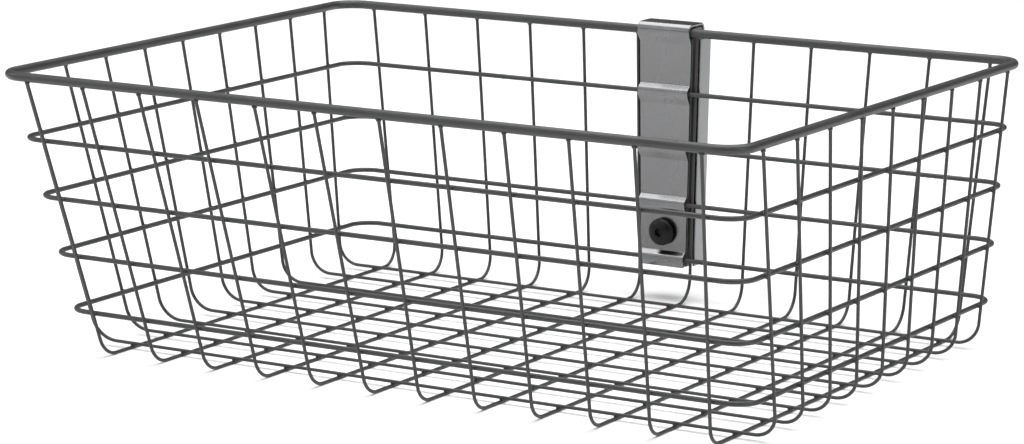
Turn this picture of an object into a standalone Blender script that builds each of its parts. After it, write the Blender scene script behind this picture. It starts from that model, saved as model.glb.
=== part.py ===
"""Welded wire basket with a clamp bracket in its back wall.

Metres, +Z up. X runs along the basket's long side, and +Y points to the wall or post behind it.
The origin is the middle of the whole object's box, on the surface that the basket stands on.
"""

import math

import bmesh
import bpy
from mathutils import Vector

# Wires, and the gap left where a weld joins two of them
RIM_WIRE_RADIUS = 0.0024
RING_WIRE_RADIUS = 0.0013
GRID_WIRE_RADIUS = 0.0009
WELD_GAP = 0.0003

# Basket: the rim's centre line, the floor's outline and the upright back wall
RIM_LENGTH = 0.4212
RIM_WIDTH = 0.3175
RIM_CORNER_RADIUS = 0.0140
FLOOR_LENGTH = 0.3982
FLOOR_WIDTH = 0.2784
WALL_HEIGHT = 0.1496
WALL_STANDOFF = 0.0012
WIRE_BEND_RADIUS = 0.0125

# Wires that run front to back, and wires that run left to right, with the space left at each end,
# and the wider bay between the two middle wires, where the bracket sits
CROSS_COUNT = 12
CROSS_END_AT_FLOOR = 0.0219
CROSS_END_AT_RIM = 0.0196
BAY_WIDTH_AT_FLOOR = 0.0312
BAY_WIDTH_AT_RIM = 0.0370
LONG_COUNT = 9
LONG_END_AT_FLOOR = 0.0243
LONG_END_AT_RIM = 0.0223

# Rings inside the walls
LOWEST_RING_HEIGHT = 0.0229
RING_PITCH = 0.0310
RING_CORNER_RADIUS = 0.0125

# Clamp strap: pressed sheet, hooked over the rim, with a bead over each ring
STRAP_GAUGE = 0.0015
STRAP_SIDE_GAP_AT_RIM = 0.0015
STRAP_SIDE_GAP_AT_FOOT = 0.0012
STRAP_BEND_RADIUS = 0.0018
SEAT_GAP = 0.0003
BEAD_CREST = 0.0031
BEAD_UPPER_SLOPE = 0.0026
BEAD_LOWER_SLOPE = 0.0046
FOOT_SLOPE = 0.0025
HOOK_CREST_DROP = 0.0018
HOOK_SLOPE = 0.0043
HOOK_BEND_RADIUS = 0.0032
HOOK_TOP_GAP = 0.0008
HOOK_LEG = 0.0080

# Liner behind the strap, between the two middle wires
LINER_THICKNESS = 0.0041
LINER_HEAD_DROP = 0.0060
LINER_HEAD_CHAMFER = 0.0016
LINER_EDGE = 0.0004

# Rear channel: folded sheet, outside the wall
CHANNEL_GAUGE = 0.0015
CHANNEL_DEPTH = 0.0160
CHANNEL_PAST_WIRE = 0.0012
CHANNEL_BEND_RADIUS = 0.0024
CHANNEL_TOP_CLEARANCE = 0.0007
CHANNEL_TAIL = 0.0035
FIXING_HOLE_RADIUS = 0.0032
UPPER_HOLE_INSET = 0.0170
LOWER_HOLE_INSET = 0.0085

# Clamp screw with its washer, and the nut that is fixed in the channel
SCREW_ABOVE_RING = 0.0151
SCREW_RADIUS = 0.0030
SCREW_CHAMFER = 0.0006
SCREW_END_GAP = 0.0008
HEAD_RADIUS = 0.0075
HEAD_HEIGHT = 0.0040
HEAD_EDGE = 0.0012
SOCKET_RADIUS = 0.0026
SOCKET_DEPTH = 0.0022
WASHER_RADIUS = 0.0068
WASHER_THICKNESS = 0.0010
NUT_RADIUS = 0.0056
NUT_THICKNESS = 0.0050
SCREW_HOLE_CLEARANCE = 0.0004
CUT_OVERRUN = 0.0020

# Roundness of arcs, wires and turned pieces
ARC_STEP = math.radians(15)
WIRE_RESOLUTION = 2
RIM_RESOLUTION = 4
TURNED_STEPS = 32
HEAD_ARC_STEPS = 7
HEX_SIDES = 6
SHARP_ANGLE = math.radians(40)

# Heights, measured up from the surface under the basket
FLOOR_Z = GRID_WIRE_RADIUS
LONG_FLOOR_Z = FLOOR_Z + 2 * GRID_WIRE_RADIUS + WELD_GAP
RIM_Z = FLOOR_Z + WALL_HEIGHT
WIRE_TOP_Z = RIM_Z - RIM_WIRE_RADIUS - WELD_GAP
LOWEST_RING_Z = FLOOR_Z + LOWEST_RING_HEIGHT
HOOK_DEPTH = HOOK_CREST_DROP + HOOK_SLOPE + STRAP_BEND_RADIUS
ROOM_FOR_RINGS = WALL_HEIGHT - LOWEST_RING_HEIGHT - HOOK_DEPTH - BEAD_UPPER_SLOPE - BEAD_CREST / 2
RING_COUNT = 1 + math.floor(ROOM_FOR_RINGS / RING_PITCH)
RING_HEIGHTS = [LOWEST_RING_Z + index * RING_PITCH for index in range(RING_COUNT)]
SCREW_Z = LOWEST_RING_Z + SCREW_ABOVE_RING
CHANNEL_TOP_Z = RIM_Z - RIM_WIRE_RADIUS - CHANNEL_TOP_CLEARANCE
CHANNEL_FOOT_Z = LOWEST_RING_Z - CHANNEL_TAIL

# Places along Y, from the rim's back wire: the whole object's box is centred on zero
RIM_BACK_Y = (RIM_WIDTH + RIM_WIRE_RADIUS - CHANNEL_DEPTH) / 2
WALL_BACK_Y = RIM_BACK_Y + WALL_STANDOFF
RING_INSET = GRID_WIRE_RADIUS + WELD_GAP + RING_WIRE_RADIUS
RING_BACK_Y = WALL_BACK_Y - RING_INSET
STRAP_Y = RING_BACK_Y + STRAP_GAUGE / 2
LINER_FRONT_Y = STRAP_Y + STRAP_GAUGE / 2 + SEAT_GAP
LINER_BACK_Y = LINER_FRONT_Y + LINER_THICKNESS
CHANNEL_BACK_Y = RIM_BACK_Y + CHANNEL_DEPTH
WEB_FRONT_Y = CHANNEL_BACK_Y - CHANNEL_GAUGE
HOOK_BACK_Y = WEB_FRONT_Y - SEAT_GAP - STRAP_GAUGE / 2
HOOK_TOP_Z = RIM_Z + RIM_WIRE_RADIUS + HOOK_TOP_GAP + STRAP_GAUGE / 2


def clear_scene():
    for old in list(bpy.data.objects):
        bpy.data.objects.remove(old)


def new_collection(name):
    made = bpy.data.collections.new(name)
    bpy.context.scene.collection.children.link(made)
    return made


def new_finish(name, colour, roughness, metallic):
    """A plain Principled material."""
    made = bpy.data.materials.new(name)
    made.use_nodes = True
    shader = made.node_tree.nodes["Principled BSDF"]
    shader.inputs["Base Color"].default_value = (*colour, 1)
    shader.inputs["Roughness"].default_value = roughness
    shader.inputs["Metallic"].default_value = metallic
    return made


def blend(start, end, share):
    return start + (end - start) * share


def wall_share(z):
    """How far up the wall a height lies: 0 at the floor wires, 1 at the rim's centre."""
    return (z - FLOOR_Z) / WALL_HEIGHT


def wall_half_length(z):
    return blend(FLOOR_LENGTH / 2, RIM_LENGTH / 2 + WALL_STANDOFF, wall_share(z))


def wall_width(z):
    return blend(FLOOR_WIDTH, RIM_WIDTH + 2 * WALL_STANDOFF, wall_share(z))


def wall_front_y(z):
    return WALL_BACK_Y - wall_width(z)


def wall_middle_y(z):
    return WALL_BACK_Y - wall_width(z) / 2


def cross_x(index, z):
    end = blend(CROSS_END_AT_FLOOR, CROSS_END_AT_RIM, wall_share(z))
    reach = wall_half_length(z) - end
    half_bay = blend(BAY_WIDTH_AT_FLOOR, BAY_WIDTH_AT_RIM, wall_share(z)) / 2
    middle = (CROSS_COUNT - 1) / 2
    steps_out = abs(index - middle) - 1 / 2
    return math.copysign(blend(half_bay, reach, steps_out / (middle - 1 / 2)), index - middle)


def long_y(index, z):
    end = blend(LONG_END_AT_FLOOR, LONG_END_AT_RIM, wall_share(z))
    reach = wall_width(z) / 2 - end
    return wall_middle_y(z) + blend(-reach, reach, index / (LONG_COUNT - 1))


def middle_wire_x(z):
    """Where the right one of the two wires beside the bracket stands."""
    return cross_x(CROSS_COUNT // 2, z)


def rounded_path(corners, radius, closed=False):
    """The points of a path through these corners, with an arc of this radius at each turn."""
    corners = [Vector(corner) for corner in corners]
    path = []
    for index, corner in enumerate(corners):
        if not closed and index in (0, len(corners) - 1):
            path.append(corner)
            continue
        ahead = (corners[(index + 1) % len(corners)] - corner).normalized()
        along = (corner - corners[index - 1]).normalized()
        turn = along.angle(ahead)
        inward = (ahead - along * math.cos(turn)).normalized()
        start = corner - along * radius * math.tan(turn / 2)
        steps = max(2, math.ceil(turn / ARC_STEP))
        for step in range(steps + 1):
            angle = turn * step / steps
            path.append(start + (along * math.sin(angle) + inward * (1 - math.cos(angle))) * radius)
    return path


def add_wire(name, path, radius, finish, closed=False, resolution=WIRE_RESOLUTION):
    curve = bpy.data.curves.new(name, "CURVE")
    curve.dimensions = "3D"
    curve.bevel_depth = radius
    curve.bevel_resolution = resolution
    curve.use_fill_caps = not closed
    curve.materials.append(finish)
    spline = curve.splines.new("POLY")
    spline.points.add(len(path) - 1)
    for point, place in zip(spline.points, path):
        point.co = (*place, 1)
    spline.use_cyclic_u = closed
    spline.use_smooth = True
    wire = bpy.data.objects.new(name, curve)
    BASKET.objects.link(wire)
    return wire


def add_mesh(name, shape, finish, collection):
    mesh = bpy.data.meshes.new(name)
    bmesh.ops.recalc_face_normals(shape, faces=shape.faces)
    shape.to_mesh(mesh)
    shape.free()
    if finish:
        mesh.materials.append(finish)
    mesh.shade_smooth()
    mesh.set_sharp_from_angle(angle=SHARP_ANGLE)
    made = bpy.data.objects.new(name, mesh)
    collection.objects.link(made)
    return made


def add_sheet(name, rows, gauge, finish):
    """Sheet metal: a skin through rows of points, thickened half to each side."""
    shape = bmesh.new()
    grid = [[shape.verts.new(point) for point in row] for row in rows]
    for upper, lower in zip(grid, grid[1:]):
        for left in range(len(upper) - 1):
            shape.faces.new((upper[left], upper[left + 1], lower[left + 1], lower[left]))
    sheet = add_mesh(name, shape, finish, BASKET)
    thicken = sheet.modifiers.new("Gauge", "SOLIDIFY")
    thicken.thickness = gauge
    thicken.offset = 0
    thicken.use_even_offset = True
    return sheet


def add_cylinder(name, radius, length, segments, finish, collection):
    """A bar along Y, centred on its own origin."""
    shape = bmesh.new()
    size = {"radius1": radius, "radius2": radius, "depth": length}
    bmesh.ops.create_cone(shape, cap_ends=True, segments=segments, **size)
    bar = add_mesh(name, shape, finish, collection)
    bar.rotation_euler.x = math.pi / 2
    return bar


def bore(piece, radius, place, length):
    """Cuts a round hole along Y."""
    cutter = add_cylinder(f"{piece.name}_bore", radius, length, TURNED_STEPS, None, CUTTERS)
    cutter.location = place
    subtract(piece, cutter)


def subtract(piece, cutter):
    cutter.hide_render = True
    cutter.display_type = "WIRE"
    cut = piece.modifiers.new(cutter.name, "BOOLEAN")
    cut.operation = "DIFFERENCE"
    cut.object = cutter


def add_turned(name, profile, finish):
    """A piece turned about its own Z, from points (radius, height) that run down its outer side."""
    mesh = bpy.data.meshes.new(name)
    edges = [(index, index + 1) for index in range(len(profile) - 1)]
    mesh.from_pydata([(radius, 0, height) for radius, height in profile], edges, [])
    mesh.materials.append(finish)
    turned = bpy.data.objects.new(name, mesh)
    BASKET.objects.link(turned)
    spin = turned.modifiers.new("Turn", "SCREW")
    spin.steps = TURNED_STEPS
    spin.render_steps = TURNED_STEPS
    spin.use_merge_vertices = True
    spin.merge_threshold = SEAT_GAP / 10
    spin.use_smooth_shade = True
    return turned


def add_rim(finish):
    half_x = RIM_LENGTH / 2
    front = RIM_BACK_Y - RIM_WIDTH
    corners = [
        (half_x, front, RIM_Z),
        (half_x, RIM_BACK_Y, RIM_Z),
        (-half_x, RIM_BACK_Y, RIM_Z),
        (-half_x, front, RIM_Z),
    ]
    path = rounded_path(corners, RIM_CORNER_RADIUS, closed=True)
    add_wire("rim_wire", path, RIM_WIRE_RADIUS, finish, closed=True, resolution=RIM_RESOLUTION)


def add_rings(finish):
    side_lean = math.atan((RIM_LENGTH / 2 + WALL_STANDOFF - FLOOR_LENGTH / 2) / WALL_HEIGHT)
    front_lean = math.atan((RIM_WIDTH + 2 * WALL_STANDOFF - FLOOR_WIDTH) / WALL_HEIGHT)
    for index, z in enumerate(reversed(RING_HEIGHTS), start=1):
        half_x = wall_half_length(z) - RING_INSET / math.cos(side_lean)
        front = wall_front_y(z) + RING_INSET / math.cos(front_lean)
        corners = [
            (half_x, front, z),
            (half_x, RING_BACK_Y, z),
            (-half_x, RING_BACK_Y, z),
            (-half_x, front, z),
        ]
        path = rounded_path(corners, RING_CORNER_RADIUS, closed=True)
        add_wire(f"ring_wire_{index}", path, RING_WIRE_RADIUS, finish, closed=True)


def add_cross_wires(finish):
    for index in range(CROSS_COUNT):
        top_x = cross_x(index, WIRE_TOP_Z)
        floor_x = cross_x(index, FLOOR_Z)
        corners = [
            (top_x, wall_front_y(WIRE_TOP_Z), WIRE_TOP_Z),
            (floor_x, wall_front_y(FLOOR_Z), FLOOR_Z),
            (floor_x, WALL_BACK_Y, FLOOR_Z),
            (top_x, WALL_BACK_Y, WIRE_TOP_Z),
        ]
        path = rounded_path(corners, WIRE_BEND_RADIUS)
        add_wire(f"cross_wire_{index + 1:02d}", path, GRID_WIRE_RADIUS, finish)


def add_long_wires(finish):
    """These lie on top of the cross wires on the floor."""
    for index in range(LONG_COUNT):
        top_x = wall_half_length(WIRE_TOP_Z)
        floor_x = wall_half_length(LONG_FLOOR_Z)
        top_y = long_y(index, WIRE_TOP_Z)
        floor_y = long_y(index, LONG_FLOOR_Z)
        corners = [
            (-top_x, top_y, WIRE_TOP_Z),
            (-floor_x, floor_y, LONG_FLOOR_Z),
            (floor_x, floor_y, LONG_FLOOR_Z),
            (top_x, top_y, WIRE_TOP_Z),
        ]
        path = rounded_path(corners, WIRE_BEND_RADIUS)
        add_wire(f"long_wire_{index + 1:02d}", path, GRID_WIRE_RADIUS, finish)


def strap_half_width(z):
    """The strap tapers between its foot and the rim, beside the two middle wires."""
    foot = middle_wire_x(LOWEST_RING_Z) - GRID_WIRE_RADIUS - STRAP_SIDE_GAP_AT_FOOT
    top = middle_wire_x(RIM_Z) - GRID_WIRE_RADIUS - STRAP_SIDE_GAP_AT_RIM
    return blend(foot, top, (z - LOWEST_RING_Z) / (RIM_Z - LOWEST_RING_Z))


def strap_profile():
    """The strap's middle line seen from the side, from the hook's rear leg down to its foot."""
    hook_front = RIM_BACK_Y - RIM_WIRE_RADIUS - SEAT_GAP - STRAP_GAUGE / 2
    bead_front = RING_BACK_Y - RING_WIRE_RADIUS - SEAT_GAP - STRAP_GAUGE / 2
    start = (0, hook_front, RIM_Z)
    hook = [
        (0, HOOK_BACK_Y, RIM_Z - HOOK_LEG),
        (0, HOOK_BACK_Y, HOOK_TOP_Z),
        (0, hook_front, HOOK_TOP_Z),
        start,
    ]
    below = [
        start,
        (0, hook_front, RIM_Z - HOOK_CREST_DROP),
        (0, STRAP_Y, RIM_Z - HOOK_CREST_DROP - HOOK_SLOPE),
    ]
    for z in reversed(RING_HEIGHTS):
        below.append((0, STRAP_Y, z + BEAD_CREST / 2 + BEAD_UPPER_SLOPE))
        below.append((0, bead_front, z + BEAD_CREST / 2))
        below.append((0, bead_front, z - BEAD_CREST / 2))
        below.append((0, STRAP_Y, z - BEAD_CREST / 2 - BEAD_LOWER_SLOPE))
    foot_y = blend(bead_front, STRAP_Y, FOOT_SLOPE / BEAD_LOWER_SLOPE)
    below[-1] = (0, foot_y, LOWEST_RING_Z - BEAD_CREST / 2 - FOOT_SLOPE)
    return rounded_path(hook, HOOK_BEND_RADIUS)[:-1] + rounded_path(below, STRAP_BEND_RADIUS)


def add_strap(finish):
    rows = []
    for point in strap_profile():
        half = strap_half_width(point.z)
        rows.append([(-half, point.y, point.z), (half, point.y, point.z)])
    strap = add_sheet("clamp_strap", rows, STRAP_GAUGE, finish)
    hole = SCREW_RADIUS + SCREW_HOLE_CLEARANCE
    bore(strap, hole, (0, STRAP_Y, SCREW_Z), STRAP_GAUGE + 2 * CUT_OVERRUN)


def liner_outline():
    """The liner from the side: a plate behind the strap, and a head that fills the strap's hook."""
    rim_reach = RIM_WIRE_RADIUS + SEAT_GAP
    head_back = HOOK_BACK_Y - STRAP_GAUGE / 2 - SEAT_GAP
    foot = LOWEST_RING_Z - BEAD_CREST / 2 - FOOT_SLOPE
    return [
        (LINER_FRONT_Y, foot),
        (LINER_FRONT_Y, RIM_Z - rim_reach - SEAT_GAP),
        (RIM_BACK_Y + rim_reach, RIM_Z - rim_reach - SEAT_GAP),
        (RIM_BACK_Y + rim_reach, RIM_Z + RIM_WIRE_RADIUS),
        (head_back - LINER_HEAD_CHAMFER, RIM_Z + RIM_WIRE_RADIUS),
        (head_back, RIM_Z + RIM_WIRE_RADIUS - LINER_HEAD_CHAMFER),
        (head_back, RIM_Z - LINER_HEAD_DROP),
        (LINER_BACK_Y, RIM_Z - LINER_HEAD_DROP),
        (LINER_BACK_Y, foot),
    ]


def add_liner(finish):
    shape = bmesh.new()
    outline = [shape.verts.new((-strap_half_width(z), y, z)) for y, z in liner_outline()]
    side = shape.faces.new(outline)
    grown = bmesh.ops.extrude_face_region(shape, geom=[side])["geom"]
    for corner in grown:
        if isinstance(corner, bmesh.types.BMVert):
            corner.co.x = strap_half_width(corner.co.z)
    liner = add_mesh("saddle_liner", shape, finish, BASKET)
    soften = liner.modifiers.new("Edges", "BEVEL")
    soften.width = LINER_EDGE
    hole = SCREW_RADIUS + 2 * SCREW_HOLE_CLEARANCE
    middle = (LINER_FRONT_Y + LINER_BACK_Y) / 2
    bore(liner, hole, (0, middle, SCREW_Z), LINER_THICKNESS + 2 * CUT_OVERRUN)


def add_channel(finish):
    """The front edges of its flanges bear on the two middle wires from behind."""
    flange_y = WALL_BACK_Y + GRID_WIRE_RADIUS + SEAT_GAP
    web_y = CHANNEL_BACK_Y - CHANNEL_GAUGE / 2
    rows = []
    for z in (CHANNEL_TOP_Z, CHANNEL_FOOT_Z):
        half = middle_wire_x(z) + CHANNEL_PAST_WIRE
        corners = [(-half, flange_y, z), (-half, web_y, z), (half, web_y, z), (half, flange_y, z)]
        rows.append(rounded_path(corners, CHANNEL_BEND_RADIUS))
    channel = add_sheet("rear_channel", rows, CHANNEL_GAUGE, finish)
    for z in (CHANNEL_TOP_Z - UPPER_HOLE_INSET, CHANNEL_FOOT_Z + LOWER_HOLE_INSET):
        bore(channel, FIXING_HOLE_RADIUS, (0, web_y, z), CHANNEL_GAUGE + 2 * CUT_OVERRUN)


def add_nut(finish):
    middle = WEB_FRONT_Y - SEAT_GAP - NUT_THICKNESS / 2
    nut = add_cylinder("weld_nut", NUT_RADIUS, NUT_THICKNESS, HEX_SIDES, finish, BASKET)
    nut.location = (0, middle, SCREW_Z)
    bore(nut, SCREW_RADIUS + SCREW_HOLE_CLEARANCE, nut.location, NUT_THICKNESS + 2 * CUT_OVERRUN)


def add_washer(finish):
    hole = SCREW_RADIUS + SCREW_HOLE_CLEARANCE
    profile = [
        (hole, 0),
        (hole, WASHER_THICKNESS),
        (WASHER_RADIUS, WASHER_THICKNESS),
        (WASHER_RADIUS, 0),
        (hole, 0),
    ]
    washer = add_turned("screw_washer", profile, finish)
    washer.rotation_euler.x = math.pi / 2
    washer.location = (0, RING_BACK_Y - SEAT_GAP, SCREW_Z)


def add_screw(finish):
    """Its own Z points out of the head, and its origin lies under the head on its axis."""
    seat_y = RING_BACK_Y - 2 * SEAT_GAP - WASHER_THICKNESS
    length = WEB_FRONT_Y - SCREW_END_GAP - seat_y
    crown = HEAD_HEIGHT - HEAD_EDGE
    profile = []
    for step in range(HEAD_ARC_STEPS + 1):
        angle = math.pi / 2 * step / HEAD_ARC_STEPS
        profile.append((HEAD_RADIUS * math.sin(angle), HEAD_EDGE + crown * math.cos(angle)))
    profile.append((HEAD_RADIUS, 0))
    profile.append((SCREW_RADIUS, 0))
    profile.append((SCREW_RADIUS, SCREW_CHAMFER - length))
    profile.append((SCREW_RADIUS - SCREW_CHAMFER, -length))
    profile.append((0, -length))
    screw = add_turned("clamp_screw", profile, finish)
    screw.rotation_euler.x = math.pi / 2
    screw.location = (0, seat_y, SCREW_Z)
    socket_length = SOCKET_DEPTH + CUT_OVERRUN
    socket = add_cylinder("clamp_screw_socket", SOCKET_RADIUS, socket_length, HEX_SIDES, None, CUTTERS)
    socket.location = (0, seat_y - HEAD_HEIGHT + SOCKET_DEPTH - socket_length / 2, SCREW_Z)
    subtract(screw, socket)


clear_scene()
BASKET = new_collection("wire_basket")
CUTTERS = new_collection("cutters")

coated_wire = new_finish("coated_wire", (0.035, 0.036, 0.038), 0.45, 0.0)
zinc_sheet = new_finish("zinc_sheet", (0.52, 0.53, 0.54), 0.35, 0.9)
black_rubber = new_finish("black_rubber", (0.02, 0.02, 0.021), 0.7, 0.0)
black_oxide = new_finish("black_oxide", (0.015, 0.015, 0.016), 0.35, 0.3)

add_rim(coated_wire)
add_rings(coated_wire)
add_cross_wires(coated_wire)
add_long_wires(coated_wire)
add_strap(zinc_sheet)
add_liner(black_rubber)
add_channel(zinc_sheet)
add_nut(zinc_sheet)
add_washer(black_oxide)
add_screw(black_oxide)
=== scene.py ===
"""Looks of a welded wire basket with a clamp bracket in its back wall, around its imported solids.

Metres, +Z up. X runs along the basket's long side, and +Y points to the wall behind it.
"""

import math
import random

import bmesh
import bpy
from mathutils import Matrix, Vector


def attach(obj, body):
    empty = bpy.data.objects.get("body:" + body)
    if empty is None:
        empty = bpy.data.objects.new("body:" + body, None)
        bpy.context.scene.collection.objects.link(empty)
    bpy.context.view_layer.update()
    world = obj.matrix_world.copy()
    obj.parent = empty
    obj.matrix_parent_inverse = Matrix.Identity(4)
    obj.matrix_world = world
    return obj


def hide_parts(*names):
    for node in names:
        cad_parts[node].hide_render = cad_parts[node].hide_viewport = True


# Wires, and the gap between two of them that a weld nugget fills
RIM_WIRE_RADIUS = 0.0024
RING_WIRE_RADIUS = 0.0013
GRID_WIRE_RADIUS = 0.0009
WELD_GAP = 0.0003

# Basket
RIM_LENGTH = 0.4212
RIM_WIDTH = 0.3175
RIM_CORNER_RADIUS = 0.0140
FLOOR_LENGTH = 0.3982
FLOOR_WIDTH = 0.2784
WALL_HEIGHT = 0.1496
WALL_STANDOFF = 0.0012
WIRE_BEND_RADIUS = 0.0125
CROSS_COUNT = 12
CROSS_END_AT_FLOOR = 0.0219
CROSS_END_AT_RIM = 0.0196
BAY_WIDTH_AT_FLOOR = 0.0312
BAY_WIDTH_AT_RIM = 0.0370
LONG_COUNT = 9
LONG_END_AT_FLOOR = 0.0243
LONG_END_AT_RIM = 0.0223
RING_COUNT = 4
LOWEST_RING_HEIGHT = 0.0229
RING_PITCH = 0.0310
RING_CORNER_RADIUS = 0.0125

# Bracket: strap, liner and rear channel
STRAP_GAUGE = 0.0015
STRAP_SIDE_GAP_AT_RIM = 0.0015
STRAP_SIDE_GAP_AT_FOOT = 0.0012
STRAP_BEND_RADIUS = 0.0018
SEAT_GAP = 0.0003
BEAD_CREST = 0.0031
BEAD_UPPER_SLOPE = 0.0026
BEAD_LOWER_SLOPE = 0.0046
FOOT_SLOPE = 0.0025
HOOK_CREST_DROP = 0.0018
HOOK_SLOPE = 0.0043
HOOK_BEND_RADIUS = 0.0032
HOOK_TOP_GAP = 0.0008
HOOK_LEG = 0.0080
LINER_THICKNESS = 0.0041
LINER_HEAD_DROP = 0.0060
LINER_HEAD_CHAMFER = 0.0016
CHANNEL_GAUGE = 0.0015
CHANNEL_DEPTH = 0.0160
CHANNEL_PAST_WIRE = 0.0012
CHANNEL_BEND_RADIUS = 0.0024
CHANNEL_TOP_CLEARANCE = 0.0007
CHANNEL_TAIL = 0.0035
FIXING_HOLE_RADIUS = 0.0032
UPPER_HOLE_INSET = 0.0170
LOWER_HOLE_INSET = 0.0085

# Screw, washer and nut
SCREW_ABOVE_RING = 0.0151
SCREW_RADIUS = 0.0030
SCREW_CHAMFER = 0.0006
SCREW_END_GAP = 0.0008
HEAD_RADIUS = 0.0075
HEAD_HEIGHT = 0.0040
HEAD_EDGE = 0.0012
SOCKET_RADIUS = 0.0026
SOCKET_DEPTH = 0.0022
WASHER_RADIUS = 0.0068
WASHER_THICKNESS = 0.0010
NUT_RADIUS = 0.0056
NUT_THICKNESS = 0.0050
NUT_CHAMFER = 0.0007
HOLE_CLEARANCE = 0.0004
THREAD_PITCH = 0.0010
THREAD_DEPTH = 0.0004
HEX_SIDES = 6
CUT_OVERRUN = 0.0020

# Rounded edges
SHEET_EDGE = 0.00045
LINER_EDGE = 0.0005
TURNED_EDGE = 0.0002
EDGE_SEGMENTS = 3
ARC_STEP = math.radians(5)
RIM_SIDES = 24
RING_SIDES = 16
GRID_SIDES = 12
TURNED_STEPS = 64
HEAD_STEPS = 24
STEPS_IN_A_THREAD_TURN = 8
MERGE_DISTANCE = SEAT_GAP / 20
SHARP_SHEET_ANGLE = math.radians(40)
SHARP_NUT_ANGLE = math.radians(20)
SHARP_SCREW_ANGLE = math.radians(35)
NUT_CHAMFER_ANGLE = math.radians(30)

# Weld nuggets: half sizes along the one wire, along the other, and through the joint
RING_NUGGET = (0.00125, 0.00135, 0.0010)
FLOOR_NUGGET = (0.00105, 0.00105, 0.0008)
RIM_NUGGET = (0.0014, 0.0013, 0.0011)
NUT_NUGGET = (0.0009, 0.0009, 0.0005)
NUGGET_AROUND = 8
NUGGET_ROWS = 6
NUGGET_SPREAD = 0.12
BUTT_WELD_SWELL = 1.07
NUT_WELD_COUNT = 3
WALL_WELD_SEED = 11
FLOOR_WELD_SEED = 12
RIM_WELD_SEED = 13
NUT_WELD_SEED = 14

# Heights and places that follow from the sizes
FLOOR_Z = GRID_WIRE_RADIUS
LONG_FLOOR_Z = FLOOR_Z + 2 * GRID_WIRE_RADIUS + WELD_GAP
RIM_Z = FLOOR_Z + WALL_HEIGHT
WIRE_TOP_Z = RIM_Z - RIM_WIRE_RADIUS - WELD_GAP
LOWEST_RING_Z = FLOOR_Z + LOWEST_RING_HEIGHT
RING_HEIGHTS = [LOWEST_RING_Z + index * RING_PITCH for index in range(RING_COUNT)]
SCREW_Z = LOWEST_RING_Z + SCREW_ABOVE_RING
CHANNEL_TOP_Z = RIM_Z - RIM_WIRE_RADIUS - CHANNEL_TOP_CLEARANCE
CHANNEL_FOOT_Z = LOWEST_RING_Z - CHANNEL_TAIL
RIM_BACK_Y = (RIM_WIDTH + RIM_WIRE_RADIUS - CHANNEL_DEPTH) / 2
RIM_FRONT_Y = RIM_BACK_Y - RIM_WIDTH
WALL_BACK_Y = RIM_BACK_Y + WALL_STANDOFF
RING_INSET = GRID_WIRE_RADIUS + WELD_GAP + RING_WIRE_RADIUS
RING_BACK_Y = WALL_BACK_Y - RING_INSET
STRAP_Y = RING_BACK_Y + STRAP_GAUGE / 2
LINER_FRONT_Y = STRAP_Y + STRAP_GAUGE / 2 + SEAT_GAP
LINER_BACK_Y = LINER_FRONT_Y + LINER_THICKNESS
CHANNEL_BACK_Y = RIM_BACK_Y + CHANNEL_DEPTH
WEB_FRONT_Y = CHANNEL_BACK_Y - CHANNEL_GAUGE
HOOK_BACK_Y = WEB_FRONT_Y - SEAT_GAP - STRAP_GAUGE / 2
HOOK_TOP_Z = RIM_Z + RIM_WIRE_RADIUS + HOOK_TOP_GAP + STRAP_GAUGE / 2
HEAD_SEAT_Y = RING_BACK_Y - 2 * SEAT_GAP - WASHER_THICKNESS
SCREW_TIP_Y = WEB_FRONT_Y - SCREW_END_GAP

# Camera: where the photograph was taken from
CAMERA_AZIMUTH = math.radians(30.957)
CAMERA_ELEVATION = math.radians(11.092)
CAMERA_ROLL = math.radians(0.2255)
CAMERA_TARGET = Vector((0.0004, -0.0126, 0.0712))
CAMERA_DISTANCE = 1.9226
CAMERA_LENS_MM = 131.27
CAMERA_SENSOR_MM = 36

# Studio: a pale floor, an even sky, and soft lights in watts
FLOOR_REACH = 12.0
FLOOR_SHADE = (0.88, 0.88, 0.88, 1)
FLOOR_ROUGHNESS = 0.9
FLOOR_SPECULAR = 0.1
SKY_SHADE = (1, 1, 1, 1)
SKY_STRENGTH = 0.12
LIGHTS = (
    # name, place, aim, width and height, power
    ("overhead_softbox", (0, 0.2, 2.4), (0, 0, 0), (3.2, 3.2), 118),
    ("left_softbox", (-2.4, -0.8, 1.3), (0, 0, 0.1), (1.4, 1.4), 14),
    ("right_softbox", (2.4, -0.4, 1.0), (0, 0, 0.1), (1.2, 1.2), 12),
    ("front_softbox", (-1.55, -2.57, 1.5), (0, 0, 0.1), (3.0, 2.4), 20),
)

# Directions
ALONG_X = Vector((1, 0, 0))
ALONG_Y = Vector((0, 1, 0))
ALONG_Z = Vector((0, 0, 1))


def mix(start, end, share):
    return start + (end - start) * share


def wall_share(z):
    return (z - FLOOR_Z) / WALL_HEIGHT


def wall_half_length(z):
    return mix(FLOOR_LENGTH / 2, RIM_LENGTH / 2 + WALL_STANDOFF, wall_share(z))


def wall_width(z):
    return mix(FLOOR_WIDTH, RIM_WIDTH + 2 * WALL_STANDOFF, wall_share(z))


def wall_front_y(z):
    return WALL_BACK_Y - wall_width(z)


def cross_x(index, z):
    """The bay between the two middle wires has widths of its own, because it holds the bracket."""
    reach = wall_half_length(z) - mix(CROSS_END_AT_FLOOR, CROSS_END_AT_RIM, wall_share(z))
    half_bay = mix(BAY_WIDTH_AT_FLOOR, BAY_WIDTH_AT_RIM, wall_share(z)) / 2
    middle = (CROSS_COUNT - 1) / 2
    steps_out = abs(index - middle) - 1 / 2
    return math.copysign(mix(half_bay, reach, steps_out / (middle - 1 / 2)), index - middle)


def long_y(index, z):
    reach = wall_width(z) / 2 - mix(LONG_END_AT_FLOOR, LONG_END_AT_RIM, wall_share(z))
    return WALL_BACK_Y - wall_width(z) / 2 + mix(-reach, reach, index / (LONG_COUNT - 1))


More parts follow.
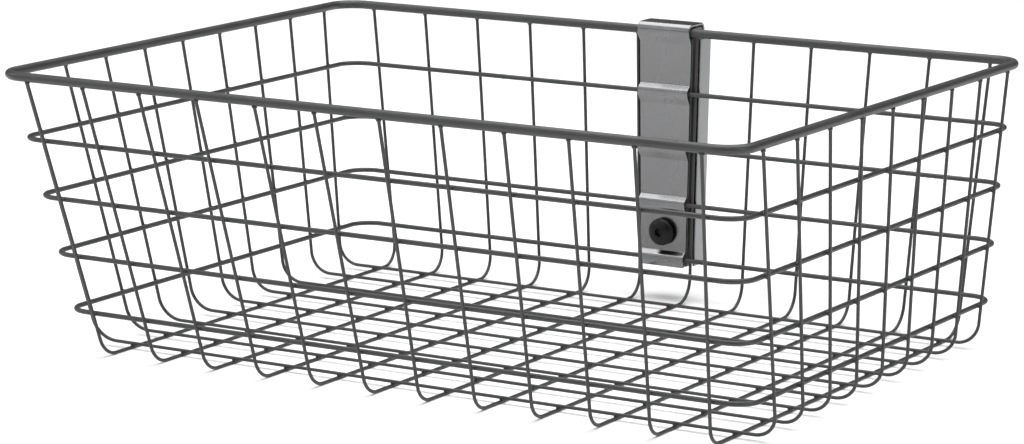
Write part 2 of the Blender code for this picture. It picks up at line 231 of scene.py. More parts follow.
def middle_wire_x(z):
    return cross_x(CROSS_COUNT // 2, z)


def side_lean():
    return math.atan((RIM_LENGTH / 2 + WALL_STANDOFF - FLOOR_LENGTH / 2) / WALL_HEIGHT)


def front_lean():
    return math.atan((RIM_WIDTH + 2 * WALL_STANDOFF - FLOOR_WIDTH) / WALL_HEIGHT)


def ring_half_length(z):
    return wall_half_length(z) - RING_INSET / math.cos(side_lean())


def ring_front_y(z):
    return wall_front_y(z) + RING_INSET / math.cos(front_lean())


def strap_half_width(z):
    foot = middle_wire_x(LOWEST_RING_Z) - GRID_WIRE_RADIUS - STRAP_SIDE_GAP_AT_FOOT
    top = middle_wire_x(RIM_Z) - GRID_WIRE_RADIUS - STRAP_SIDE_GAP_AT_RIM
    return mix(foot, top, (z - LOWEST_RING_Z) / (RIM_Z - LOWEST_RING_Z))


def rounded_loop(half_x, front, back, z, radius):
    """A closed rounded rectangle at one height."""
    corners = [(half_x, front, z), (half_x, back, z), (-half_x, back, z), (-half_x, front, z)]
    return rounded_path(corners, radius, closed=True)


def rounded_path(corners, radius, closed=False):
    """Points of a path through these corners, with an arc of this radius at each turn."""
    corners = [Vector(corner) for corner in corners]
    path = []
    for index, corner in enumerate(corners):
        if not closed and index in (0, len(corners) - 1):
            path.append(corner)
            continue
        ahead = (corners[(index + 1) % len(corners)] - corner).normalized()
        along = (corner - corners[index - 1]).normalized()
        turn = along.angle(ahead)
        inward = (ahead - along * math.cos(turn)).normalized()
        start = corner - along * radius * math.tan(turn / 2)
        steps = max(2, math.ceil(turn / ARC_STEP))
        for step in range(steps + 1):
            angle = turn * step / steps
            path.append(start + (along * math.sin(angle) + inward * (1 - math.cos(angle))) * radius)
    return path


# Finishes ------------------------------------------------------------------------------------


def new_group(name, inputs, outputs):
    """A node group with these sockets, and its input and output nodes."""
    group = bpy.data.node_groups.new(name, "ShaderNodeTree")
    for label, kind, value in inputs:
        socket = group.interface.new_socket(label, in_out="INPUT", socket_type=kind)
        socket.default_value = value
    for label, kind in outputs:
        group.interface.new_socket(label, in_out="OUTPUT", socket_type=kind)
    return group, group.nodes.new("NodeGroupInput"), group.nodes.new("NodeGroupOutput")


def add_node(tree, kind, settings=(), values=()):
    """A node with these settings, and with values on its inputs, by name or number."""
    made = tree.nodes.new(kind)
    for key, value in dict(settings).items():
        setattr(made, key, value)
    for key, value in dict(values).items():
        made.inputs[key].default_value = value
    return made


def make_grain_group():
    """The height of fine bumps over slow waves."""
    group, given, result = new_group(
        "fine_grain",
        [
            ("Vector", "NodeSocketVector", (0, 0, 0)),
            ("Grain Scale", "NodeSocketFloat", 1500.0),
            ("Wave Scale", "NodeSocketFloat", 250.0),
            ("Wave Share", "NodeSocketFloat", 0.4),
        ],
        [("Height", "NodeSocketFloat")],
    )
    link = group.links.new
    fine = add_node(group, "ShaderNodeTexNoise", values={"Detail": 3.0, "Roughness": 0.55})
    slow = add_node(group, "ShaderNodeTexNoise", values={"Detail": 2.0, "Roughness": 0.5})
    both = add_node(group, "ShaderNodeMix", {"data_type": "FLOAT"})
    link(given.outputs["Vector"], fine.inputs["Vector"])
    link(given.outputs["Vector"], slow.inputs["Vector"])
    link(given.outputs["Grain Scale"], fine.inputs["Scale"])
    link(given.outputs["Wave Scale"], slow.inputs["Scale"])
    link(given.outputs["Wave Share"], both.inputs["Factor"])
    link(fine.outputs["Fac"], both.inputs["A"])
    link(slow.outputs["Fac"], both.inputs["B"])
    link(both.outputs["Result"], result.inputs["Height"])
    return group


def make_cloud_group():
    """Two shades in soft clouds with small specks: a colour, and a roughness that follows them."""
    group, given, result = new_group(
        "cloudy_shade",
        [
            ("Vector", "NodeSocketVector", (0, 0, 0)),
            ("Shade", "NodeSocketColor", (0.5, 0.5, 0.5, 1)),
            ("Cloud Shade", "NodeSocketColor", (0.6, 0.6, 0.6, 1)),
            ("Speck Shade", "NodeSocketColor", (0.3, 0.3, 0.3, 1)),
            ("Cloud Scale", "NodeSocketFloat", 60.0),
            ("Speck Scale", "NodeSocketFloat", 900.0),
            ("Speck Share", "NodeSocketFloat", 0.3),
            ("Least Roughness", "NodeSocketFloat", 0.35),
            ("Most Roughness", "NodeSocketFloat", 0.5),
        ],
        [("Color", "NodeSocketColor"), ("Roughness", "NodeSocketFloat")],
    )
    link = group.links.new
    clouds = add_node(group, "ShaderNodeTexNoise", values={"Detail": 4.0, "Roughness": 0.6})
    specks = add_node(group, "ShaderNodeTexNoise", values={"Detail": 1.0})
    smooth = {"interpolation_type": "SMOOTHSTEP"}
    soften = add_node(group, "ShaderNodeMapRange", smooth, {"From Min": 0.35, "From Max": 0.65})
    pick = add_node(group, "ShaderNodeMapRange", smooth, {"From Min": 0.62, "From Max": 0.74})
    speck_share = add_node(group, "ShaderNodeMath", {"operation": "MULTIPLY"})
    shade = add_node(group, "ShaderNodeMix", {"data_type": "RGBA"})
    specked = add_node(group, "ShaderNodeMix", {"data_type": "RGBA"})
    rough = add_node(group, "ShaderNodeMapRange")
    link(given.outputs["Vector"], clouds.inputs["Vector"])
    link(given.outputs["Vector"], specks.inputs["Vector"])
    link(given.outputs["Cloud Scale"], clouds.inputs["Scale"])
    link(given.outputs["Speck Scale"], specks.inputs["Scale"])
    link(clouds.outputs["Fac"], soften.inputs["Value"])
    link(specks.outputs["Fac"], pick.inputs["Value"])
    link(pick.outputs["Result"], speck_share.inputs[0])
    link(given.outputs["Speck Share"], speck_share.inputs[1])
    link(soften.outputs["Result"], shade.inputs["Factor"])
    link(given.outputs["Shade"], shade.inputs["A"])
    link(given.outputs["Cloud Shade"], shade.inputs["B"])
    link(speck_share.outputs[0], specked.inputs["Factor"])
    link(shade.outputs["Result"], specked.inputs["A"])
    link(given.outputs["Speck Shade"], specked.inputs["B"])
    link(specked.outputs["Result"], result.inputs["Color"])
    link(soften.outputs["Result"], rough.inputs["Value"])
    link(given.outputs["Least Roughness"], rough.inputs["To Min"])
    link(given.outputs["Most Roughness"], rough.inputs["To Max"])
    link(rough.outputs["Result"], result.inputs["Roughness"])
    return group


def new_finish(name, clouds, grain, bump_depth, stretch=(1, 1, 1), shader_values=()):
    """A cloudy shade and fine grain on the piece's own coordinates."""
    made = bpy.data.materials.new(name)
    made.use_nodes = True
    tree = made.node_tree
    link = tree.links.new
    shader = tree.nodes["Principled BSDF"]
    for key, value in dict(shader_values).items():
        shader.inputs[key].default_value = value
    place = add_node(tree, "ShaderNodeTexCoord")
    scaled = add_node(tree, "ShaderNodeMapping", values={"Scale": stretch})
    shade = add_node(tree, "ShaderNodeGroup", {"node_tree": CLOUDY_SHADE}, clouds)
    bumps = add_node(tree, "ShaderNodeGroup", {"node_tree": FINE_GRAIN}, grain)
    bump = add_node(tree, "ShaderNodeBump", values={"Distance": bump_depth, "Strength": 1.0})
    link(place.outputs["Object"], scaled.inputs["Vector"])
    link(scaled.outputs["Vector"], shade.inputs["Vector"])
    link(scaled.outputs["Vector"], bumps.inputs["Vector"])
    link(shade.outputs["Color"], shader.inputs["Base Color"])
    link(shade.outputs["Roughness"], shader.inputs["Roughness"])
    link(bumps.outputs["Height"], bump.inputs["Height"])
    link(bump.outputs["Normal"], shader.inputs["Normal"])
    return made


# Pieces --------------------------------------------------------------------------------------


def dress(piece, finish, slot, body, *nodes):
    """Gives a new piece its finish, and lets it stand for CAD nodes of one body."""
    piece.data.materials.clear()
    piece.data.materials.append(finish)
    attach(piece, body)
    if nodes:
        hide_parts(*nodes)


def add_mesh(name, shape):
    """Turns a bmesh into a smooth object with outward normals."""
    bmesh.ops.recalc_face_normals(shape, faces=shape.faces)
    mesh = bpy.data.meshes.new(name)
    shape.to_mesh(mesh)
    shape.free()
    mesh.shade_smooth()
    made = bpy.data.objects.new(name, mesh)
    bpy.context.scene.collection.objects.link(made)
    return made


def add_wire(node, path, radius, sides, closed=False, butt_weld=None):
    """A round wire along a path. butt_weld is the number of the point where its ends were joined.

    A round bevel has four sides at resolution 0, and two more for each step.
    """
    curve = bpy.data.curves.new(f"{node}_coated", "CURVE")
    curve.dimensions = "3D"
    curve.bevel_depth = radius
    curve.bevel_resolution = sides // 2 - 2
    curve.use_fill_caps = not closed
    spline = curve.splines.new("POLY")
    spline.points.add(len(path) - 1)
    for point, place in zip(spline.points, path):
        point.co = (*place, 1)
    if butt_weld is not None:
        spline.points[butt_weld].radius = BUTT_WELD_SWELL
    spline.use_cyclic_u = closed
    spline.use_smooth = True
    wire = bpy.data.objects.new(curve.name, curve)
    bpy.context.scene.collection.objects.link(wire)
    dress(wire, powder_coat, "coated_wire", "basket", node)


def with_butt_weld(path, place, half_length):
    """Adds three points on the closed path's stretch nearest to a place, for a swell where the ends meet."""
    place = Vector(place)
    stretches = list(zip(path, path[1:] + path[:1]))
    best = min(range(len(stretches)), key=lambda index: distance_to(place, *stretches[index]))
    start, end = stretches[best]
    along = (end - start).normalized()
    extra = [place - along * half_length, place, place + along * half_length]
    return path[: best + 1] + extra + path[best + 1 :], best + 2


def distance_to(place, start, end):
    """How far a place lies from a straight stretch."""
    along = end - start
    share = max(0, min(1, (place - start).dot(along) / along.length_squared))
    return (start + along * share - place).length


def add_rim():
    path = rounded_loop(RIM_LENGTH / 2, RIM_FRONT_Y, RIM_BACK_Y, RIM_Z, RIM_CORNER_RADIUS)
    path, weld = with_butt_weld(path, (RIM_LENGTH / 4, RIM_BACK_Y, RIM_Z), RIM_WIRE_RADIUS)
    add_wire("rim_wire", path, RIM_WIRE_RADIUS, RIM_SIDES, closed=True, butt_weld=weld)


def add_rings():
    """Their butt welds lie left and right of the bracket by turns."""
    for number, z in enumerate(reversed(RING_HEIGHTS), start=1):
        half_x = ring_half_length(z)
        path = rounded_loop(half_x, ring_front_y(z), RING_BACK_Y, z, RING_CORNER_RADIUS)
        side = -1 if number % 2 else 1
        path, weld = with_butt_weld(path, (side * half_x / 2, RING_BACK_Y, z), RING_WIRE_RADIUS)
        add_wire(f"ring_wire_{number}", path, RING_WIRE_RADIUS, RING_SIDES, closed=True, butt_weld=weld)


def add_cross_wires():
    for index in range(CROSS_COUNT):
        top_x, floor_x = cross_x(index, WIRE_TOP_Z), cross_x(index, FLOOR_Z)
        corners = [
            (top_x, wall_front_y(WIRE_TOP_Z), WIRE_TOP_Z),
            (floor_x, wall_front_y(FLOOR_Z), FLOOR_Z),
            (floor_x, WALL_BACK_Y, FLOOR_Z),
            (top_x, WALL_BACK_Y, WIRE_TOP_Z),
        ]
        path = rounded_path(corners, WIRE_BEND_RADIUS)
        add_wire(f"cross_wire_{index + 1:02d}", path, GRID_WIRE_RADIUS, GRID_SIDES)


def add_long_wires():
    for index in range(LONG_COUNT):
        top_x, floor_x = wall_half_length(WIRE_TOP_Z), wall_half_length(LONG_FLOOR_Z)
        top_y, floor_y = long_y(index, WIRE_TOP_Z), long_y(index, LONG_FLOOR_Z)
        corners = [
            (-top_x, top_y, WIRE_TOP_Z),
            (-floor_x, floor_y, LONG_FLOOR_Z),
            (floor_x, floor_y, LONG_FLOOR_Z),
            (top_x, top_y, WIRE_TOP_Z),
        ]
        path = rounded_path(corners, WIRE_BEND_RADIUS)
        add_wire(f"long_wire_{index + 1:02d}", path, GRID_WIRE_RADIUS, GRID_SIDES)


def add_nugget(shape, centre, along, through, half_sizes, uneven):
    """One weld nugget: a flattened ball between two wires."""
    across = through.cross(along).normalized()
    along = across.cross(through).normalized()
    sizes = [half * (1 + uneven.uniform(-1, 1) * NUGGET_SPREAD) for half in half_sizes]
    turned = Matrix((along, across, through.normalized())).transposed().to_4x4()
    place = Matrix.Translation(centre) @ turned @ Matrix.Diagonal((*sizes, 1))
    bmesh.ops.create_uvsphere(shape, u_segments=NUGGET_AROUND, v_segments=NUGGET_ROWS, radius=1, matrix=place)


def between(wire, ring):
    """The middle of the gap between a grid wire's axis and a ring's axis."""
    return mix(wire, ring, (GRID_WIRE_RADIUS + WELD_GAP / 2) / RING_INSET)


def add_wall_nuggets():
    uneven = random.Random(WALL_WELD_SEED)
    shape = bmesh.new()
    for z in RING_HEIGHTS:
        for index in range(CROSS_COUNT):
            x = cross_x(index, z)
            front = Vector((x, wall_front_y(z), z)), Vector((x, ring_front_y(z), z))
            back = Vector((x, WALL_BACK_Y, z)), Vector((x, RING_BACK_Y, z))
            for wire, ring in (front, back):
                add_nugget(shape, between(wire, ring), ALONG_X, ring - wire, RING_NUGGET, uneven)
        for index in range(LONG_COUNT):
            y = long_y(index, z)
            for side in (-1, 1):
                wire = Vector((side * wall_half_length(z), y, z))
                ring = Vector((side * ring_half_length(z), y, z))
                add_nugget(shape, between(wire, ring), ALONG_Y, ring - wire, RING_NUGGET, uneven)
    dress(add_mesh("wall_weld_nuggets", shape), powder_coat, "coated_wire", "basket")


def add_floor_nuggets():
    uneven = random.Random(FLOOR_WELD_SEED)
    shape = bmesh.new()
    z = FLOOR_Z + GRID_WIRE_RADIUS + WELD_GAP / 2
    for index in range(CROSS_COUNT):
        for number in range(LONG_COUNT):
            centre = Vector((cross_x(index, FLOOR_Z), long_y(number, LONG_FLOOR_Z), z))
            add_nugget(shape, centre, ALONG_X, ALONG_Z, FLOOR_NUGGET, uneven)
    dress(add_mesh("floor_weld_nuggets", shape), powder_coat, "coated_wire", "basket")


def add_rim_nuggets():
    """Each grid wire's end is welded to the rim's underside."""
    uneven = random.Random(RIM_WELD_SEED)
    shape = bmesh.new()
    z = WIRE_TOP_Z
    ends = []
    for index in range(CROSS_COUNT):
        x = cross_x(index, z)
        ends.append((Vector((x, wall_front_y(z), z)), Vector((x, RIM_FRONT_Y, RIM_Z)), ALONG_X))
        ends.append((Vector((x, WALL_BACK_Y, z)), Vector((x, RIM_BACK_Y, RIM_Z)), ALONG_X))
    for index in range(LONG_COUNT):
        y = long_y(index, z)
        for side in (-1, 1):
            end = Vector((side * wall_half_length(z), y, z))
            ends.append((end, Vector((side * RIM_LENGTH / 2, y, RIM_Z)), ALONG_Y))
    for end, rim, along in ends:
        through = rim - end
        centre = rim - through.normalized() * (RIM_WIRE_RADIUS + WELD_GAP)
        add_nugget(shape, centre, along, through, RIM_NUGGET, uneven)
    dress(add_mesh("rim_weld_nuggets", shape), powder_coat, "coated_wire", "basket")


def chain(shape, points):
    """A row of vertices joined by edges, as a start for extruding. Returns the edges."""
    row = [shape.verts.new(point) for point in points]
    return [shape.edges.new(pair) for pair in zip(row, row[1:])]


def extrude_edges(shape, edges, step):
    """Extrudes edges by a step and returns the new ones."""
    grown = bmesh.ops.extrude_edge_only(shape, edges=edges)["geom"]
    corners = [item for item in grown if isinstance(item, bmesh.types.BMVert)]
    bmesh.ops.translate(shape, verts=corners, vec=step)
    return [item for item in grown if isinstance(item, bmesh.types.BMEdge)]


def add_bar(name, radius, length, place, sides=TURNED_STEPS):
    """A bar along Y, as a body or for cutting a hole."""
    shape = bmesh.new()
    turned = Matrix.Translation(place) @ Matrix.Rotation(math.pi / 2, 4, "X")
    bmesh.ops.create_cone(
        shape, cap_ends=True, segments=sides, radius1=radius, radius2=radius, depth=length, matrix=turned
    )
    return add_mesh(name, shape)


def apply_modifiers(piece):
    """Keeps what a piece's modifiers make as its mesh."""
    graph = bpy.context.evaluated_depsgraph_get()
    made = bpy.data.meshes.new_from_object(piece.evaluated_get(graph), depsgraph=graph)
    old = piece.data
    piece.modifiers.clear()
    piece.data = made
    bpy.data.meshes.remove(old)


def cut_with(piece, cutters, operation="DIFFERENCE"):
    """Cuts these shapes out of a piece, or keeps what it shares with them, and removes them."""
    for cutter in cutters:
        cut = piece.modifiers.new(cutter.name, "BOOLEAN")
        cut.operation = operation
        cut.solver = "EXACT"
        cut.object = cutter
    apply_modifiers(piece)
    for cutter in cutters:
        bpy.data.meshes.remove(cutter.data)


def thicken(piece, gauge):
    sheet = piece.modifiers.new("Gauge", "SOLIDIFY")
    sheet.thickness = gauge
    sheet.offset = 0
    sheet.use_even_offset = True


def soften_edges(piece, width):
    """Rounds the sharp edges, and keeps the flats flat."""
    rounded = piece.modifiers.new("Rounded edges", "BEVEL")
    rounded.width = width
    rounded.segments = EDGE_SEGMENTS
    rounded.limit_method = "ANGLE"
    rounded.angle_limit = SHARP_SHEET_ANGLE
    rounded.use_clamp_overlap = True
    rounded.harden_normals = True


def strap_profile():
    """The strap's middle line seen from the side, from the hook's rear leg down to its foot."""
    hook_front = RIM_BACK_Y - RIM_WIRE_RADIUS - SEAT_GAP - STRAP_GAUGE / 2
    bead_front = RING_BACK_Y - RING_WIRE_RADIUS - SEAT_GAP - STRAP_GAUGE / 2
    start = (0, hook_front, RIM_Z)
    hook = [
        (0, HOOK_BACK_Y, RIM_Z - HOOK_LEG),
        (0, HOOK_BACK_Y, HOOK_TOP_Z),
        (0, hook_front, HOOK_TOP_Z),
        start,
    ]
    below = [
        start,
        (0, hook_front, RIM_Z - HOOK_CREST_DROP),
        (0, STRAP_Y, RIM_Z - HOOK_CREST_DROP - HOOK_SLOPE),
    ]
    for z in reversed(RING_HEIGHTS):
        below.append((0, STRAP_Y, z + BEAD_CREST / 2 + BEAD_UPPER_SLOPE))
        below.append((0, bead_front, z + BEAD_CREST / 2))
        below.append((0, bead_front, z - BEAD_CREST / 2))
        below.append((0, STRAP_Y, z - BEAD_CREST / 2 - BEAD_LOWER_SLOPE))
    foot_y = mix(bead_front, STRAP_Y, FOOT_SLOPE / BEAD_LOWER_SLOPE)
    below[-1] = (0, foot_y, LOWEST_RING_Z - BEAD_CREST / 2 - FOOT_SLOPE)
    return rounded_path(hook, HOOK_BEND_RADIUS)[:-1] + rounded_path(below, STRAP_BEND_RADIUS)


def fit_between_wires(shape):
    """Brings a shape that reaches from -1 to 1 to the strap's width at each height."""
    for corner in shape.verts:
        corner.co.x *= strap_half_width(corner.co.z)


def add_strap():
    shape = bmesh.new()
    edges = chain(shape, [(-1, point.y, point.z) for point in strap_profile()])
    extrude_edges(shape, edges, (2, 0, 0))
    fit_between_wires(shape)
    strap = add_mesh("clamp_strap_pressed", shape)
    thicken(strap, STRAP_GAUGE)
    hole = SCREW_RADIUS + HOLE_CLEARANCE
    cutter = add_bar("strap_hole", hole, STRAP_GAUGE + 2 * CUT_OVERRUN, (0, STRAP_Y, SCREW_Z))
    cut_with(strap, [cutter])
    soften_edges(strap, SHEET_EDGE)
    dress(strap, zinc_sheet, "bracket_sheet", "basket", "clamp_strap")


def add_liner():
    rim_reach = RIM_WIRE_RADIUS + SEAT_GAP
    head_back = HOOK_BACK_Y - STRAP_GAUGE / 2 - SEAT_GAP
    foot = LOWEST_RING_Z - BEAD_CREST / 2 - FOOT_SLOPE
    outline = [
        (LINER_FRONT_Y, foot),
        (LINER_FRONT_Y, RIM_Z - rim_reach - SEAT_GAP),
        (RIM_BACK_Y + rim_reach, RIM_Z - rim_reach - SEAT_GAP),
        (RIM_BACK_Y + rim_reach, RIM_Z + RIM_WIRE_RADIUS),
        (head_back - LINER_HEAD_CHAMFER, RIM_Z + RIM_WIRE_RADIUS),
        (head_back, RIM_Z + RIM_WIRE_RADIUS - LINER_HEAD_CHAMFER),
        (head_back, RIM_Z - LINER_HEAD_DROP),
        (LINER_BACK_Y, RIM_Z - LINER_HEAD_DROP),
        (LINER_BACK_Y, foot),
    ]
    shape = bmesh.new()
    side = shape.faces.new([shape.verts.new((-1, y, z)) for y, z in outline])
    grown = bmesh.ops.extrude_face_region(shape, geom=[side])["geom"]
    corners = [item for item in grown if isinstance(item, bmesh.types.BMVert)]
    bmesh.ops.translate(shape, verts=corners, vec=(2, 0, 0))
    fit_between_wires(shape)
    liner = add_mesh("saddle_liner_moulded", shape)
    hole = SCREW_RADIUS + 2 * HOLE_CLEARANCE
    middle = (LINER_FRONT_Y + LINER_BACK_Y) / 2
    cutter = add_bar("liner_hole", hole, LINER_THICKNESS + 2 * CUT_OVERRUN, (0, middle, SCREW_Z))
    cut_with(liner, [cutter])
    soften_edges(liner, LINER_EDGE)
    dress(liner, black_rubber, "liner", "basket", "saddle_liner")


def add_channel():
    """Its flanges bear on the two middle wires from behind. Its foot is narrower than its top."""
    flange_y = WALL_BACK_Y + GRID_WIRE_RADIUS + SEAT_GAP
    web_y = CHANNEL_BACK_Y - CHANNEL_GAUGE / 2
    top_half = middle_wire_x(CHANNEL_TOP_Z) + CHANNEL_PAST_WIRE
    foot_half = middle_wire_x(CHANNEL_FOOT_Z) + CHANNEL_PAST_WIRE
    corners = [
        (-top_half, flange_y, CHANNEL_TOP_Z),
        (-top_half, web_y, CHANNEL_TOP_Z),
        (top_half, web_y, CHANNEL_TOP_Z),
        (top_half, flange_y, CHANNEL_TOP_Z),
    ]
    shape = bmesh.new()
    edges = chain(shape, rounded_path(corners, CHANNEL_BEND_RADIUS))
    extrude_edges(shape, edges, (0, 0, CHANNEL_FOOT_Z - CHANNEL_TOP_Z))
    for corner in shape.verts:
        if corner.co.z < (CHANNEL_TOP_Z + CHANNEL_FOOT_Z) / 2:
            corner.co.x -= math.copysign(top_half - foot_half, corner.co.x)
    channel = add_mesh("rear_channel_folded", shape)
    thicken(channel, CHANNEL_GAUGE)
    length = CHANNEL_GAUGE + 2 * CUT_OVERRUN
    heights = {"upper": CHANNEL_TOP_Z - UPPER_HOLE_INSET, "lower": CHANNEL_FOOT_Z + LOWER_HOLE_INSET}
    cutters = [
        add_bar(f"fixing_hole_{name}", FIXING_HOLE_RADIUS, length, (0, web_y, z))
        for name, z in heights.items()
    ]
    cut_with(channel, cutters)
    soften_edges(channel, SHEET_EDGE)
    dress(channel, zinc_sheet, "bracket_sheet", "basket", "rear_channel")


def spun(shape, points):
    """Spins a profile of points (radius, place along Y) once round the screw's axis."""
    edges = chain(shape, [(radius, y, 0) for radius, y in points])
    bmesh.ops.spin(
        shape,
        geom=edges,
        axis=(0, 1, 0),
        cent=(0, 0, 0),
        angle=2 * math.pi,
        steps=TURNED_STEPS,
        use_merge=True,
    )
    bmesh.ops.remove_doubles(shape, verts=shape.verts, dist=MERGE_DISTANCE)
    bmesh.ops.translate(shape, verts=shape.verts, vec=(0, 0, SCREW_Z))


def rounded_profile(points, radius):
    """A turned profile with its inner corners rounded."""
    path = rounded_path([(distance, y, 0) for distance, y in points], radius)
    return [(point.x, point.y) for point in path]


def add_nut():
    """A hexagonal nut with its corners chamfered, held by weld nuggets on the channel."""
    back = WEB_FRONT_Y - SEAT_GAP
    middle = back - NUT_THICKNESS / 2
    front = back - NUT_THICKNESS
    nut = add_bar("weld_nut_chamfered", NUT_RADIUS, NUT_THICKNESS, (0, middle, SCREW_Z), HEX_SIDES)
    edge = NUT_RADIUS - NUT_CHAMFER
    rise = NUT_CHAMFER * math.tan(NUT_CHAMFER_ANGLE)
    profile = [
        (0, front),
        (edge, front),
        (NUT_RADIUS, front + rise),
        (NUT_RADIUS, back - rise),
        (edge, back),
        (0, back),
    ]
    shape = bmesh.new()
    spun(shape, profile)
    cut_with(nut, [add_mesh("nut_chamfer", shape)], "INTERSECT")
    hole = SCREW_RADIUS + HOLE_CLEARANCE
    cut_with(nut, [add_bar("nut_hole", hole, NUT_THICKNESS + 2 * CUT_OVERRUN, (0, middle, SCREW_Z))])
    nut.data.set_sharp_from_angle(angle=SHARP_NUT_ANGLE)
    dress(nut, zinc_plate, "nut", "basket", "weld_nut")
    uneven = random.Random(NUT_WELD_SEED)
    shape = bmesh.new()
    for number in range(NUT_WELD_COUNT):
        angle = math.pi / 2 + 2 * math.pi * number / NUT_WELD_COUNT
        out = Vector((math.cos(angle), 0, math.sin(angle)))
        centre = Vector((0, back + SEAT_GAP / 2, SCREW_Z)) + out * (NUT_RADIUS - NUT_NUGGET[0])
        add_nugget(shape, centre, out, ALONG_Y, NUT_NUGGET, uneven)
    dress(add_mesh("nut_weld_nuggets", shape), zinc_plate, "nut", "basket")


def add_washer():
    hole = SCREW_RADIUS + HOLE_CLEARANCE
    front = RING_BACK_Y - SEAT_GAP - WASHER_THICKNESS
    back = front + WASHER_THICKNESS
    middle = (hole + WASHER_RADIUS) / 2
    corners = [
        (middle, front),
        (WASHER_RADIUS, front),
        (WASHER_RADIUS, back),
        (hole, back),
        (hole, front),
        (middle, front),
    ]
    shape = bmesh.new()
    spun(shape, rounded_profile(corners, TURNED_EDGE))
    dress(add_mesh("screw_washer_turned", shape), black_oxide, "screw", "washer", "screw_washer")


def cut_thread(shape):
    """Draws the shank's points in to a V groove that winds round it, from one pitch behind the head."""
    start = HEAD_SEAT_Y + THREAD_PITCH + MERGE_DISTANCE
    for corner in shape.verts:
        arm = Vector((corner.co.x, 0, corner.co.z - SCREW_Z))
        if corner.co.y < start or arm.length < SCREW_RADIUS - MERGE_DISTANCE:
            continue
        turn = math.atan2(arm.z, arm.x) / (2 * math.pi)
        pitches = (corner.co.y - HEAD_SEAT_Y) / THREAD_PITCH
        groove = abs(2 * ((pitches + turn) % 1) - 1)
        arm.length = SCREW_RADIUS - THREAD_DEPTH * groove
        corner.co.x, corner.co.z = arm.x, arm.z + SCREW_Z


def add_screw():
    """A round head with a hexagonal socket, and a shank with a real thread."""
    crown = HEAD_HEIGHT - HEAD_EDGE
    profile = []
    for step in range(HEAD_STEPS + 1):
        angle = math.pi / 2 * step / HEAD_STEPS
        profile.append((HEAD_RADIUS * math.sin(angle), HEAD_SEAT_Y - HEAD_EDGE - crown * math.cos(angle)))
    thread_start, thread_end = HEAD_SEAT_Y + THREAD_PITCH, SCREW_TIP_Y - SCREW_CHAMFER
    under_head = [
        (HEAD_RADIUS, HEAD_SEAT_Y - HEAD_EDGE),
        (HEAD_RADIUS, HEAD_SEAT_Y),
        (SCREW_RADIUS, HEAD_SEAT_Y),
        (SCREW_RADIUS, thread_start),
    ]
    profile += rounded_profile(under_head, TURNED_EDGE)[1:]
    rows = round((thread_end - thread_start) / THREAD_PITCH * STEPS_IN_A_THREAD_TURN)
    for row in range(1, rows + 1):
        profile.append((SCREW_RADIUS, mix(thread_start, thread_end, row / rows)))
    profile += [(SCREW_RADIUS - SCREW_CHAMFER, SCREW_TIP_Y), (0, SCREW_TIP_Y)]
    shape = bmesh.new()
    spun(shape, profile)
    cut_thread(shape)
    screw = add_mesh("clamp_screw_turned", shape)
    length = SOCKET_DEPTH + CUT_OVERRUN
    place = (0, HEAD_SEAT_Y - HEAD_HEIGHT + SOCKET_DEPTH - length / 2, SCREW_Z)
    cut_with(screw, [add_bar("screw_socket", SOCKET_RADIUS, length, place, HEX_SIDES)])
    screw.data.set_sharp_from_angle(angle=SHARP_SCREW_ANGLE)
    dress(screw, black_oxide, "screw", "screw", "clamp_screw")


# Studio --------------------------------------------------------------------------------------


def add_floor():
    """A pale floor, wide enough for a view from any side."""
    shape = bmesh.new()
    bmesh.ops.create_grid(shape, x_segments=1, y_segments=1, size=FLOOR_REACH)
    floor = add_mesh("studio_floor", shape)
    floor.data.materials.append(make_floor_finish())


def make_floor_finish():
    made = bpy.data.materials.new("pale_floor")
    made.use_nodes = True
    shader = made.node_tree.nodes["Principled BSDF"]
    shader.inputs["Base Color"].default_value = FLOOR_SHADE
    shader.inputs["Roughness"].default_value = FLOOR_ROUGHNESS
    shader.inputs["Specular IOR Level"].default_value = FLOOR_SPECULAR
    return made


def add_light(name, place, aim, size, power):
    lamp = bpy.data.lights.new(name, "AREA")
    lamp.shape = "RECTANGLE"
    lamp.size, lamp.size_y = size
    lamp.energy = power
    made = bpy.data.objects.new(name, lamp)
    made.location = place
    made.rotation_euler = (Vector(aim) - Vector(place)).to_track_quat("-Z", "Y").to_euler()
    bpy.context.scene.collection.objects.link(made)


def add_studio():
    add_floor()
    world = bpy.data.worlds.new("soft_studio")
    world.use_nodes = True
    sky = world.node_tree.nodes["Background"]
    sky.inputs["Color"].default_value = SKY_SHADE
    sky.inputs["Strength"].default_value = SKY_STRENGTH
    bpy.context.scene.world = world
    for light in LIGHTS:
        add_light(*light)
    bpy.context.scene.view_settings.view_transform = "Standard"


def add_camera():
    back = Vector(
        (
            math.sin(CAMERA_AZIMUTH) * math.cos(CAMERA_ELEVATION),
            -math.cos(CAMERA_AZIMUTH) * math.cos(CAMERA_ELEVATION),
            math.sin(CAMERA_ELEVATION),
        )
    )
    level = Vector((math.cos(CAMERA_AZIMUTH), math.sin(CAMERA_AZIMUTH), 0))
    up = back.cross(level)
    right = level * math.cos(CAMERA_ROLL) + up * math.sin(CAMERA_ROLL)
    up = up * math.cos(CAMERA_ROLL) - level * math.sin(CAMERA_ROLL)
    lens = bpy.data.cameras.new("photo_camera")
    lens.lens = CAMERA_LENS_MM
    lens.sensor_width = CAMERA_SENSOR_MM
    camera = bpy.data.objects.new("photo_camera", lens)
    turned = Matrix((right, up, back)).transposed().to_4x4()
    camera.matrix_world = Matrix.Translation(CAMERA_TARGET + back * CAMERA_DISTANCE) @ turned
    bpy.context.scene.collection.objects.link(camera)
    bpy.context.scene.camera = camera


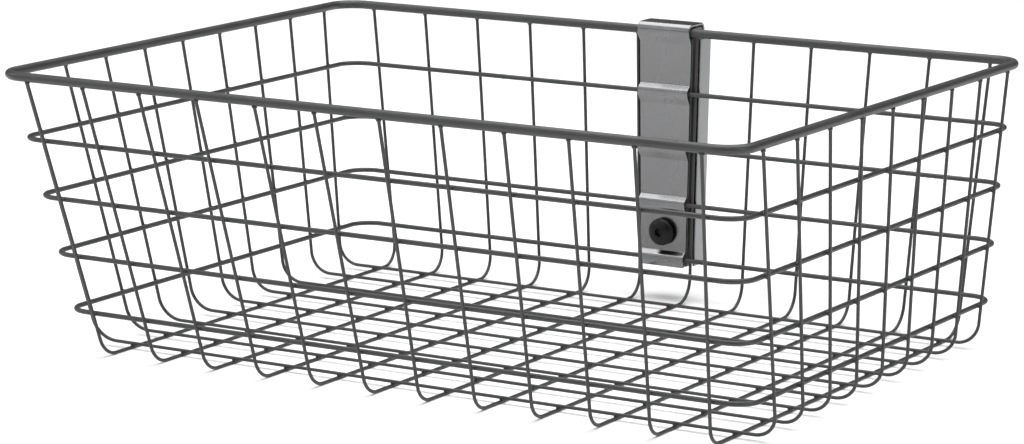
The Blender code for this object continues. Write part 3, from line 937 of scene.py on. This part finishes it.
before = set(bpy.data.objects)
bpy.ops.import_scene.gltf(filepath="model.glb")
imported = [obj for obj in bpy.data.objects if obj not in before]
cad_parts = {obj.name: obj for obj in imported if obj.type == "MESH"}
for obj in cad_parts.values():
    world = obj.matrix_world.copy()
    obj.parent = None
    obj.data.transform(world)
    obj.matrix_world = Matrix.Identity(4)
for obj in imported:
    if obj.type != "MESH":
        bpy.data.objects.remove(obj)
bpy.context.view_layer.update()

FINE_GRAIN = make_grain_group()
CLOUDY_SHADE = make_cloud_group()
powder_coat = new_finish(
    "powder_coat",
    {
        "Shade": (0.032, 0.0325, 0.0335, 1),
        "Cloud Shade": (0.040, 0.0405, 0.0415, 1),
        "Speck Shade": (0.060, 0.061, 0.062, 1),
        "Cloud Scale": 45.0,
        "Speck Scale": 1800.0,
        "Speck Share": 0.5,
        "Least Roughness": 0.38,
        "Most Roughness": 0.48,
    },
    {"Grain Scale": 1400.0, "Wave Scale": 420.0, "Wave Share": 0.5},
    bump_depth=0.00006,
)
zinc_sheet = new_finish(
    "zinc_sheet",
    {
        "Shade": (0.216, 0.218, 0.221, 1),
        "Cloud Shade": (0.241, 0.243, 0.246, 1),
        "Speck Shade": (0.22, 0.222, 0.225, 1),
        "Cloud Scale": 90.0,
        "Speck Scale": 1400.0,
        "Speck Share": 0.35,
        "Least Roughness": 0.20,
        "Most Roughness": 0.28,
    },
    {"Grain Scale": 900.0, "Wave Scale": 150.0, "Wave Share": 0.2},
    bump_depth=0.000008,
    stretch=(1, 1, 0.25),
    shader_values={"Metallic": 1.0},
)
zinc_plate = new_finish(
    "zinc_plate",
    {
        "Shade": (0.55, 0.55, 0.54, 1),
        "Cloud Shade": (0.60, 0.60, 0.58, 1),
        "Speck Shade": (0.45, 0.45, 0.43, 1),
        "Cloud Scale": 300.0,
        "Least Roughness": 0.26,
        "Most Roughness": 0.38,
    },
    {"Grain Scale": 1500.0, "Wave Scale": 400.0},
    bump_depth=0.00002,
    shader_values={"Metallic": 1.0},
)
black_rubber = new_finish(
    "black_rubber",
    {
        "Shade": (0.11, 0.11, 0.112, 1),
        "Cloud Shade": (0.13, 0.13, 0.132, 1),
        "Speck Shade": (0.16, 0.16, 0.162, 1),
        "Cloud Scale": 120.0,
        "Speck Scale": 1600.0,
        "Least Roughness": 0.55,
        "Most Roughness": 0.70,
    },
    {"Grain Scale": 1200.0, "Wave Scale": 500.0, "Wave Share": 0.3},
    bump_depth=0.00008,
)
black_oxide = new_finish(
    "black_oxide",
    {
        "Shade": (0.006, 0.006, 0.0065, 1),
        "Cloud Shade": (0.010, 0.010, 0.0105, 1),
        "Speck Shade": (0.02, 0.02, 0.021, 1),
        "Cloud Scale": 350.0,
        "Speck Scale": 2200.0,
        "Least Roughness": 0.30,
        "Most Roughness": 0.42,
    },
    {"Grain Scale": 2000.0, "Wave Scale": 600.0, "Wave Share": 0.3},
    bump_depth=0.00003,
    shader_values={"Metallic": 0.3, "Specular IOR Level": 0.3},
)

add_camera()
add_studio()
add_rim()
add_rings()
add_cross_wires()
add_long_wires()
add_wall_nuggets()
add_floor_nuggets()
add_rim_nuggets()
add_strap()
add_liner()
add_channel()
add_nut()
add_washer()
add_screw()
